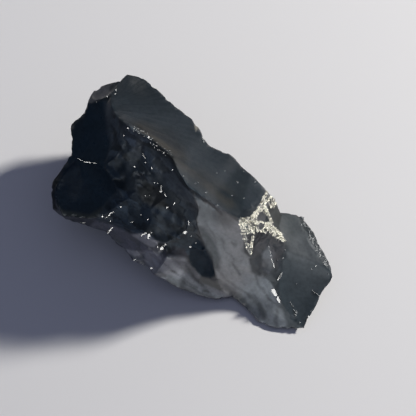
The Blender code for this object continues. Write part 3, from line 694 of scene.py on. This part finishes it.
gloss = sum_of(tree, mask(tree, "gloss"), sum_of(tree, mottle, 0.08, "MULTIPLY"))
gloss = sum_of(tree, gloss, sum_of(tree, swirl_share, 0.10, "MULTIPLY"))
gloss = slide(tree, crust, gloss, gold["Roughness"])
join(tree, gloss, shader, "Roughness")
level = sum_of(tree, mask(tree, "mirror"), slide(tree, freckle, 1.05, 0.93), "MULTIPLY")
level = sum_of(tree, level, slide(tree, mottle, 1.08, 0.94), "MULTIPLY")
for place, pattern in [("satin", streak), ("pale", swirl)]:
    striped = sum_of(tree, level, clip(tree, pattern, 0.20, 0.55), "MULTIPLY")
    level = slide(tree, sum_of(tree, mask(tree, place), 0.3, "MULTIPLY"), level, striped)
join(tree, slide(tree, crust, level, 0.5), shader, "Specular IOR Level")

normal = relief(tree, streak, 0.00010, sum_of(tree, mask(tree, "satin"), 0.3, "MULTIPLY"))
normal = relief(tree, swirl, 0.00010, sum_of(tree, mask(tree, "pale"), 0.4, "MULTIPLY"), normal)
normal = relief(tree, grain, 0.00003, 0.25, normal)
join(tree, normal, shader, "Normal")

stone.data.materials.clear()
stone.data.materials.append(shungite)
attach(stone, "root")
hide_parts("nugget")

# ----------------------------------------------------------- the fresh chips
# Splinters that broke off clean. Each leaves one small flat face, and the ones
# that happen to face the light flash white.

VIEW_RIGHT = from_sight(1, 0, 0)
VIEW_UP = SIGHT.cross(VIEW_RIGHT)
CHIP_CORNERS = 6
CHIP_SUNK = 0.12
CHIP_STEP = 0.30
CHIP_TILT = 0.035
PROBE_START = 60
LIGHT_REACH = 0.5
# the small lamps that chips flash with: where each stands, its width and how bright it is
SPARKS = {
    "sun_spark": (SUN, 0.06, 10),
    "back_spark": (from_sight(-0.32, 0.56, 0.77), 0.03, 16),
    "front_spark": (from_sight(-0.50, -0.86, 0.10), 0.03, 16),
}
# right, up, length and width in mm, and the way the length runs in degrees
CHIPS = [
    # on the crest
    (-5.4, 8.1, 0.30, 0.26, 0), (-5.1, 7.8, 0.26, 0.22, 0), (-4.8, 7.2, 0.15, 0.12, 0),
    (-4.4, 7.4, 0.16, 0.12, 0), (-4.4, 7.0, 0.22, 0.16, 0), (-4.1, 6.5, 0.16, 0.12, 0),
    (-3.5, 6.1, 0.30, 0.18, 30), (-2.8, 6.4, 0.24, 0.16, 30), (-8.0, 9.2, 0.28, 0.24, 0),
    (-8.5, 8.3, 0.20, 0.16, 0),
    # in the hackly middle
    (-6.0, 5.8, 0.80, 0.13, -56), (-5.8, 4.9, 0.26, 0.20, 0), (-5.0, 4.2, 0.42, 0.12, -59),
    (-7.2, 4.4, 0.26, 0.22, 0), (-2.4, 4.0, 0.26, 0.22, 0), (-1.1, 3.2, 0.18, 0.16, 0),
    (-4.7, 2.4, 0.26, 0.16, 20), (-4.3, 2.3, 0.20, 0.15, 0), (-3.9, 1.8, 0.50, 0.24, 80),
    (-3.9, 1.3, 0.42, 0.26, 10), (-3.3, 0.9, 0.50, 0.24, -50), (-2.2, -0.2, 0.40, 0.28, 80),
    (-3.1, -0.7, 0.40, 0.20, 40), (-5.8, 0.8, 0.15, 0.13, 0), (-5.3, 0.8, 0.15, 0.13, 0),
    (-8.9, -0.6, 0.30, 0.22, 0), (-6.4, -1.6, 0.13, 0.12, 0), (-5.5, -2.2, 0.24, 0.18, 0),
    (-7.5, -2.5, 0.34, 0.15, 15), (-0.4, -2.6, 0.50, 0.20, -64), (-0.85, -3.8, 0.55, 0.41, 30),
    (-0.1, -4.3, 0.16, 0.13, 0), (-0.2, -5.6, 0.38, 0.26, -50), (0.5, -5.1, 0.14, 0.12, 0),
    # along the foot of the middle
    (-6.2, -4.1, 0.50, 0.26, 15), (-5.8, -3.9, 0.34, 0.22, 30), (-5.4, -4.3, 0.80, 0.42, 78),
    (-5.1, -3.8, 0.20, 0.18, 0), (-3.75, -5.8, 0.70, 0.44, 75), (-3.3, -5.3, 0.34, 0.26, 0),
    (-4.3, -5.6, 0.20, 0.16, 0), (-3.5, -5.5, 0.18, 0.14, 0), (-11.2, -1.8, 0.30, 0.20, 45),
    (-10.3, -1.5, 1.20, 0.22, 37), (-13.7, -2.6, 0.50, 0.14, 0), (-10.2, -2.4, 0.20, 0.18, 0),
    (-10.3, -3.5, 1.00, 0.28, 42), (-7.3, -7.3, 0.46, 0.18, 25), (-5.2, -8.3, 0.46, 0.34, 0),
    # on the satin face and its rim
    (0.4, 2.3, 0.16, 0.14, 0), (0.7, 2.4, 0.20, 0.16, 0), (1.8, 1.2, 0.28, 0.22, 0),
    (3.1, 3.6, 0.20, 0.18, 0), (3.2, -0.4, 0.30, 0.22, 0), (4.1, 3.9, 0.14, 0.12, 0),
    (5.0, 0.8, 0.20, 0.18, 0), (6.5, 0.5, 0.22, 0.20, 0), (5.7, 2.5, 0.34, 0.16, -50),
    (1.4, 7.8, 0.36, 0.20, -45), (1.5, 7.5, 0.26, 0.18, 0), (-1.7, 11.7, 0.20, 0.14, 0),
    (6.5, 3.8, 0.20, 0.14, 0), (7.9, 2.5, 0.24, 0.16, 0), (-9.5, 14.0, 0.28, 0.20, 80),
    (-9.6, 13.5, 0.20, 0.18, 0), (-10.6, 13.2, 0.24, 0.20, 0), (-12.0, 12.5, 0.15, 0.13, 0),
    # the sharp lip between the two dark hollows
    (-13.9, 5.3, 0.85, 0.11, -22), (-13.1, 5.0, 0.85, 0.17, -14), (-12.3, 4.9, 0.60, 0.09, -3),
    # steps by the narrow end
    (11.0, -9.3, 1.10, 0.30, 63), (10.3, -11.3, 1.30, 0.62, -60), (10.8, -12.2, 1.00, 0.42, -66),
    (9.8, -6.4, 0.80, 0.13, 95), (10.0, -7.2, 0.80, 0.13, -68), (10.3, -7.9, 0.50, 0.20, -67),
    (11.7, -6.0, 0.20, 0.17, 0), (11.4, -7.0, 0.20, 0.17, 0), (10.7, -7.3, 0.15, 0.14, 0),
    (12.5, -12.8, 0.90, 0.10, -61), (13.0, -13.8, 0.90, 0.30, -67),
    (13.5, -15.1, 0.24, 0.20, 0), (14.3, -15.0, 0.20, 0.18, 0), (15.5, -8.0, 0.20, 0.18, 0),
    (15.0, -8.4, 0.13, 0.12, 0), (13.1, -10.2, 0.18, 0.16, 0), (17.0, -9.0, 0.15, 0.14, 0),
    (14.6, -14.3, 0.24, 0.18, 60), (14.9, -13.7, 0.20, 0.15, 60), (15.9, -11.7, 0.26, 0.14, -40),
    (15.4, -11.3, 0.80, 0.06, -39), (9.6, -5.6, 0.80, 0.06, 88),
    # the bevel at the narrow end
    (13.9, -2.0, 0.40, 0.34, 0), (14.1, -2.8, 0.50, 0.30, -80), (14.8, -4.6, 0.34, 0.26, 0),
    (15.2, -5.1, 0.40, 0.26, -50), (16.0, -6.3, 0.26, 0.20, 0),
]

CAMERA_DISTANCE = 1.5
AIM = off_plan(2.0, -0.75, 8)
EYE = AIM + SIGHT * CAMERA_DISTANCE / MM
stone_shape = bvhtree.BVHTree.FromPolygons(
    [Vector(point) for point in points], [face.vertices[:] for face in stone.data.polygons]
)


def face_toward(spot, surface):
    """The way a chip must face to flash, from the open spark nearest to the surface's own way."""
    best = surface
    best_match = -1
    for toward, _, _ in SPARKS.values():
        to_lamp = (toward * (LIGHT_REACH / MM) - spot).normalized()
        if stone_shape.ray_cast(spot + surface * 0.25 + to_lamp * 0.05, to_lamp)[0]:
            continue
        half_way = ((EYE - spot).normalized() + to_lamp).normalized()
        if half_way.dot(surface) > best_match:
            best = half_way
            best_match = half_way.dot(surface)
    return best


def add_chip(cut, right, up, length, width, angle, number):
    """One wedge with a flat top, let into the stone at a spot of the plan."""
    probe = off_plan(right, up, 8) + SIGHT * PROBE_START
    hit, surface = stone_shape.ray_cast(probe, -SIGHT)[:2]
    if hit is None:
        return
    tilt = noise.cell_vector(Vector((number + 0.5, 9.5, 0.5))) - Vector((0.5, 0.5, 0.5))
    tilt *= 2 * CHIP_TILT * max(0, 1 - width / 0.4)
    top_way = (face_toward(hit, surface) + tilt).normalized()
    way = VIEW_RIGHT * math.cos(angle) + VIEW_UP * math.sin(angle)
    side = VIEW_UP * math.cos(angle) - VIEW_RIGHT * math.sin(angle)
    top = []
    foot = []
    for corner in range(CHIP_CORNERS):
        nudge = 0.5 * noise.cell(Vector((number + 0.5, corner + 0.5, 0.5)))
        turn = math.tau * (corner + nudge) / CHIP_CORNERS
        step = way * math.cos(turn) * length / 2 + side * math.sin(turn) * width / 2
        step -= SIGHT * step.dot(top_way) / SIGHT.dot(top_way)
        below = stone_shape.ray_cast(hit + step + SIGHT * 3, -SIGHT)[0] or hit + step
        top.append(hit + step)
        foot.append(below - SIGHT * CHIP_SUNK)
    rise = max((low - high).dot(SIGHT) for low, high in zip(foot, top)) + CHIP_SUNK + 0.02
    top = [cut.verts.new(place + SIGHT * rise) for place in top]
    foot = [cut.verts.new(place) for place in foot]
    cut.faces.new(top)
    cut.faces.new(foot[::-1])
    for corner in range(CHIP_CORNERS):
        after = (corner + 1) % CHIP_CORNERS
        cut.faces.new((top[corner], foot[corner], foot[after], top[after]))


def add_flecks(cut, among, share, size):
    """Small chips on some of the given points of the stone."""
    for number in among:
        pick = noise.cell_vector(Vector((number + 0.5, 3.5, 0.5)))
        length = size * (0.5 + pick.y)
        width = size * (0.4 + 0.6 * pick.z)
        if pick.x < share:
            add_chip(cut, *plan[number], length, width, math.tau * pick.y, number)


def as_piece(cut, name):
    """Close the chips into one piece of their own, in metres."""
    bmesh.ops.scale(cut, verts=cut.verts, vec=(MM, MM, MM))
    bmesh.ops.recalc_face_normals(cut, faces=cut.faces)
    piece = bpy.data.objects.new(name, bpy.data.meshes.new(name))
    cut.to_mesh(piece.data)
    cut.free()
    bpy.context.scene.collection.objects.link(piece)
    return piece


chip_shape = bmesh.new()
number = 0
for right, up, length, width, degrees in CHIPS:
    angle = math.radians(degrees)
    parts = 1 if width > 0.4 else max(1, round(length / CHIP_STEP))
    for part in range(parts):
        along = (part + 0.5) / parts - 0.5
        sway = 0.4 * width * (noise.cell(Vector((number + 0.5, 0.5, 7.5))) - 0.5) * (parts > 1)
        add_chip(
            chip_shape,
            right + along * length * math.cos(angle) - sway * math.sin(angle),
            up + along * length * math.sin(angle) + sway * math.cos(angle),
            (1.4 if parts > 1 else 0.9) * length / parts, width * (0.9 - abs(along)), angle, number,
        )
        number += 1
add_flecks(chip_shape, np.nonzero(bevel > 0.5)[0], 0.05, 0.30)
granular = near_line(plan, GRANULAR_CREST, 0.8, 0.4) * facing
add_flecks(chip_shape, np.nonzero(granular > 0.5)[0], 0.09, 0.11)
chips = as_piece(chip_shape, "fresh_chips")

fresh_break = bpy.data.materials.new("fresh_break")
fresh_break.use_nodes = True
tree = fresh_break.node_tree
shader = tree.nodes["Principled BSDF"]
shader.inputs["Base Color"].default_value = (0.015, 0.018, 0.022, 1)
shader.inputs["Roughness"].default_value = 0.17
shader.inputs["IOR"].default_value = 2.4
chips.data.materials.append(fresh_break)
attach(chips, "root")

# --------------------------------------------------------- the pyrite grains
# Pyrite grew in the crack as a crust of tiny cubes. They stand on the vein in
# all directions, closest together in its lower arm.

GRAIN_SIZE = 0.15
GRAINS_PER_MM2 = 20
thick_crust = np.nonzero(vein > 0.7)[0]
crust_points = set(thick_crust.tolist())
crust_shape = bmesh.new()
crust_corners = {}
for face in stone.data.polygons:
    if not all(corner in crust_points for corner in face.vertices):
        continue
    for corner in face.vertices:
        if corner not in crust_corners:
            crust_corners[corner] = crust_shape.verts.new(stone.data.vertices[corner].co)
    crust_shape.faces.new([crust_corners[corner] for corner in face.vertices])
crust_bed = bpy.data.objects.new("crust_bed", bpy.data.meshes.new("crust_bed"))
crust_shape.to_mesh(crust_bed.data)
crust_shape.free()
bpy.context.scene.collection.objects.link(crust_bed)

pyrite = bpy.data.materials.new("pyrite")
pyrite.use_nodes = True
tree = pyrite.node_tree
shader = tree.nodes["Principled BSDF"]
gold = gilded(tree, (0.36, 0.34, 0.27, 1), (0.90, 0.88, 0.78, 1), 2400)
join(tree, gold["Color"], shader, "Base Color")
join(tree, gold["Roughness"], shader, "Roughness")
shader.inputs["Metallic"].default_value = 0.2

scatter = bpy.data.node_groups.new("grains_on_crust", "GeometryNodeTree")
scatter.interface.new_socket("Geometry", in_out="INPUT", socket_type="NodeSocketGeometry")
size_socket = scatter.interface.new_socket("Grain Size", in_out="INPUT", socket_type="NodeSocketFloat")
count_socket = scatter.interface.new_socket("Grains Per Area", in_out="INPUT", socket_type="NodeSocketFloat")
scatter.interface.new_socket("Geometry", in_out="OUTPUT", socket_type="NodeSocketGeometry")
entry = add(scatter, "NodeGroupInput")
spread = add(scatter, "GeometryNodeDistributePointsOnFaces")
join(scatter, entry.outputs["Geometry"], spread, "Mesh")
join(scatter, entry.outputs["Grains Per Area"], spread, "Density")
spread.inputs["Seed"].default_value = 5
cube = add(scatter, "GeometryNodeMeshCube")
join(scatter, entry.outputs["Grain Size"], cube, "Size")
turn = add(scatter, "FunctionNodeRandomValue", data_type="FLOAT_VECTOR")
turn.inputs["Max"].default_value = (math.tau, math.tau, math.tau)
turn.inputs["Seed"].default_value = 6
grow = add(scatter, "FunctionNodeRandomValue", data_type="FLOAT_VECTOR")
grow.inputs["Min"].default_value = (0.5, 0.5, 0.5)
grow.inputs["Max"].default_value = (1.5, 1.5, 1.5)
grow.inputs["Seed"].default_value = 7
stand = add(scatter, "GeometryNodeInstanceOnPoints")
join(scatter, spread.outputs["Points"], stand, "Points")
join(scatter, cube.outputs["Mesh"], stand, "Instance")
join(scatter, turn.outputs["Value"], stand, "Rotation")
join(scatter, grow.outputs["Value"], stand, "Scale")
real = add(scatter, "GeometryNodeRealizeInstances")
join(scatter, stand.outputs["Instances"], real, "Geometry")
paint = add(scatter, "GeometryNodeSetMaterial")
join(scatter, real.outputs["Geometry"], paint, "Geometry")
paint.inputs["Material"].default_value = pyrite
exit_node = add(scatter, "NodeGroupOutput")
join(scatter, paint.outputs["Geometry"], exit_node, "Geometry")

growth = crust_bed.modifiers.new("growth", "NODES")
growth.node_group = scatter
growth[size_socket.identifier] = GRAIN_SIZE * MM
growth[count_socket.identifier] = GRAINS_PER_MM2 / MM ** 2
depsgraph = bpy.context.evaluated_depsgraph_get()
grains = bpy.data.objects.new(
    "pyrite_grains", bpy.data.meshes.new_from_object(crust_bed.evaluated_get(depsgraph))
)
bpy.context.scene.collection.objects.link(grains)
bpy.data.objects.remove(crust_bed)
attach(grains, "root")

# --------------------------------------------------- the bright pyrite faces
# Here and there a larger cube of the crust broke off level. Its flat face
# flashes like a small mirror.

FLASH_SHARE = 0.26
FLASH_SIZE = 0.22
flash_shape = bmesh.new()
add_flecks(flash_shape, thick_crust, FLASH_SHARE, FLASH_SIZE)
flashes = as_piece(flash_shape, "bright_pyrite_faces")
bright_pyrite = bpy.data.materials.new("bright_pyrite")
bright_pyrite.use_nodes = True
shader = bright_pyrite.node_tree.nodes["Principled BSDF"]
shader.inputs["Base Color"].default_value = (0.82, 0.79, 0.66, 1)
shader.inputs["Roughness"].default_value = 0.25
shader.inputs["Metallic"].default_value = 0.7
flashes.data.materials.append(bright_pyrite)
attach(flashes, "root")

# ---------------------------------------------------------------- the floor
# Plain pale paper on a table. It isn't part of the stone.

bpy.ops.mesh.primitive_plane_add(size=3)
floor = bpy.context.object
floor.name = "floor"
paper = bpy.data.materials.new("paper")
paper.use_nodes = True
paper_shader = paper.node_tree.nodes["Principled BSDF"]
paper_shader.inputs["Base Color"].default_value = (0.74, 0.74, 0.735, 1)
paper_shader.inputs["Roughness"].default_value = 0.9
paper_shader.inputs["Specular IOR Level"].default_value = 0.1
floor.data.materials.append(paper)

# --------------------------------------------------------- lights and camera
# One soft lamp low on the right throws the shadow to the left. Pale cards
# stand round the stone, a dark one lies behind it to the left, and small
# lamps make its chips flash. The cards and the small lamps show only in gloss.

SUN_WIDTH = 0.05
SUN_RADIANCE = 510

def hang_light(name, toward, size, radiance, colour):
    """A square soft light that looks at the stone."""
    lamp = bpy.data.lights.new(name, "AREA")
    lamp.shape = "RECTANGLE"
    lamp.size, lamp.size_y = size
    lamp.energy = radiance * math.pi * size[0] * size[1]
    lamp.color = colour
    light = bpy.data.objects.new(name, lamp)
    light.location = toward * LIGHT_REACH
    light.rotation_mode = "QUATERNION"
    light.rotation_quaternion = toward.to_track_quat("Z", "Y")
    bpy.context.scene.collection.objects.link(light)
    return light


sun = hang_light("sun", SUN, (SUN_WIDTH, SUN_WIDTH), SUN_RADIANCE, (1, 0.97, 0.93))
sun.visible_glossy = False
for name, (toward, width, radiance) in SPARKS.items():
    spark = hang_light(name, toward, (width, width), radiance, (1, 0.99, 0.97))
    spark.visible_diffuse = False
# the pale cards: where each stands, its size, its brightness and its colour
CARDS = [
    ("front_card", from_sight(0.08, -0.93, 0.35), (0.44, 0.42), 0.99, (0.86, 0.94, 1)),
    ("low_card", from_sight(-0.24, -0.60, 0.76), (0.26, 0.28), 1.15, (0.88, 0.94, 1)),
    ("far_card", from_sight(0.45, 0.72, 0.45), (0.50, 0.36), 0.15, (0.82, 0.90, 1)),
    ("top_card", from_sight(0.50, -0.42, 0.80), (0.34, 0.34), 0.30, (0.85, 0.95, 1)),
    ("side_card", from_sight(0.92, 0.30, 0.30), (0.20, 0.24), 0.40, (0.95, 1, 0.98)),
]
for name, toward, size, radiance, card_tint in CARDS:
    card = hang_light(name, toward, size, radiance, card_tint)
    card.visible_diffuse = False

# painted shade: a black card seen only in the stone's gloss, a dark reflection where lit paper would show
DARK_CARD_FROM = math.radians(-50)
DARK_CARD_TO = math.radians(-152)
DARK_CARD_REACH = (0.026, 0.9)
DARK_CARD_STEPS = 12
DARK_CARD_UP = Vector((0, 0, 0.0003))
dark_shape = bmesh.new()
rows = []
for step in range(DARK_CARD_STEPS + 1):
    bearing = DARK_CARD_FROM + (DARK_CARD_TO - DARK_CARD_FROM) * step / DARK_CARD_STEPS
    toward = from_sight(math.sin(bearing), math.cos(bearing), 0)
    rows.append([dark_shape.verts.new(toward * reach + DARK_CARD_UP) for reach in DARK_CARD_REACH])
for (near, far), (next_near, next_far) in zip(rows, rows[1:]):
    dark_shape.faces.new((near, far, next_far, next_near))
dark_card = bpy.data.objects.new("dark_card", bpy.data.meshes.new("dark_card"))
dark_shape.to_mesh(dark_card.data)
dark_shape.free()
bpy.context.scene.collection.objects.link(dark_card)
painted_dark_reflection = bpy.data.materials.new("painted_dark_reflection")
painted_dark_reflection.use_nodes = True
painted_dark_reflection_shader = painted_dark_reflection.node_tree.nodes["Principled BSDF"]
painted_dark_reflection_shader.inputs["Base Color"].default_value = (0.01, 0.01, 0.012, 1)
painted_dark_reflection_shader.inputs["Roughness"].default_value = 1
dark_card.data.materials.append(painted_dark_reflection)
dark_card.visible_camera = False
dark_card.visible_diffuse = False
dark_card.visible_shadow = False

world = bpy.data.worlds.new("room")
bpy.context.scene.world = world
world.use_nodes = True
room = world.node_tree
path = add(room, "ShaderNodeLightPath")
skies = {}
for ray, tint_of_sky, strength in [
    ("Is Camera Ray", (0.75, 0.75, 0.75, 1), 1.0),
    ("Is Glossy Ray", (0.55, 0.80, 1.0, 1), 0.09),
    ("", (0.62, 0.68, 1.0, 1), 0.19),
]:
    sky = add(room, "ShaderNodeBackground")
    sky.inputs["Color"].default_value = tint_of_sky
    sky.inputs["Strength"].default_value = strength
    skies[ray] = sky.outputs[0]
shown = skies[""]
for ray in ("Is Glossy Ray", "Is Camera Ray"):
    choose = add(room, "ShaderNodeMixShader")
    join(room, path.outputs[ray], choose, 0)
    join(room, shown, choose, 1)
    join(room, skies[ray], choose, 2)
    shown = choose.outputs[0]
join(room, shown, room.nodes["World Output"], "Surface")
bpy.context.scene.view_settings.view_transform = "Standard"

VIEW_WIDTH = 0.052
camera = bpy.data.objects.new("camera", bpy.data.cameras.new("camera"))
bpy.context.scene.collection.objects.link(camera)
bpy.context.scene.camera = camera
camera.data.lens = camera.data.sensor_width * CAMERA_DISTANCE / VIEW_WIDTH
camera.location = EYE * MM
camera.rotation_mode = "QUATERNION"
camera.rotation_quaternion = SIGHT.to_track_quat("Z", "Y")
camera.data.clip_start = 0.01
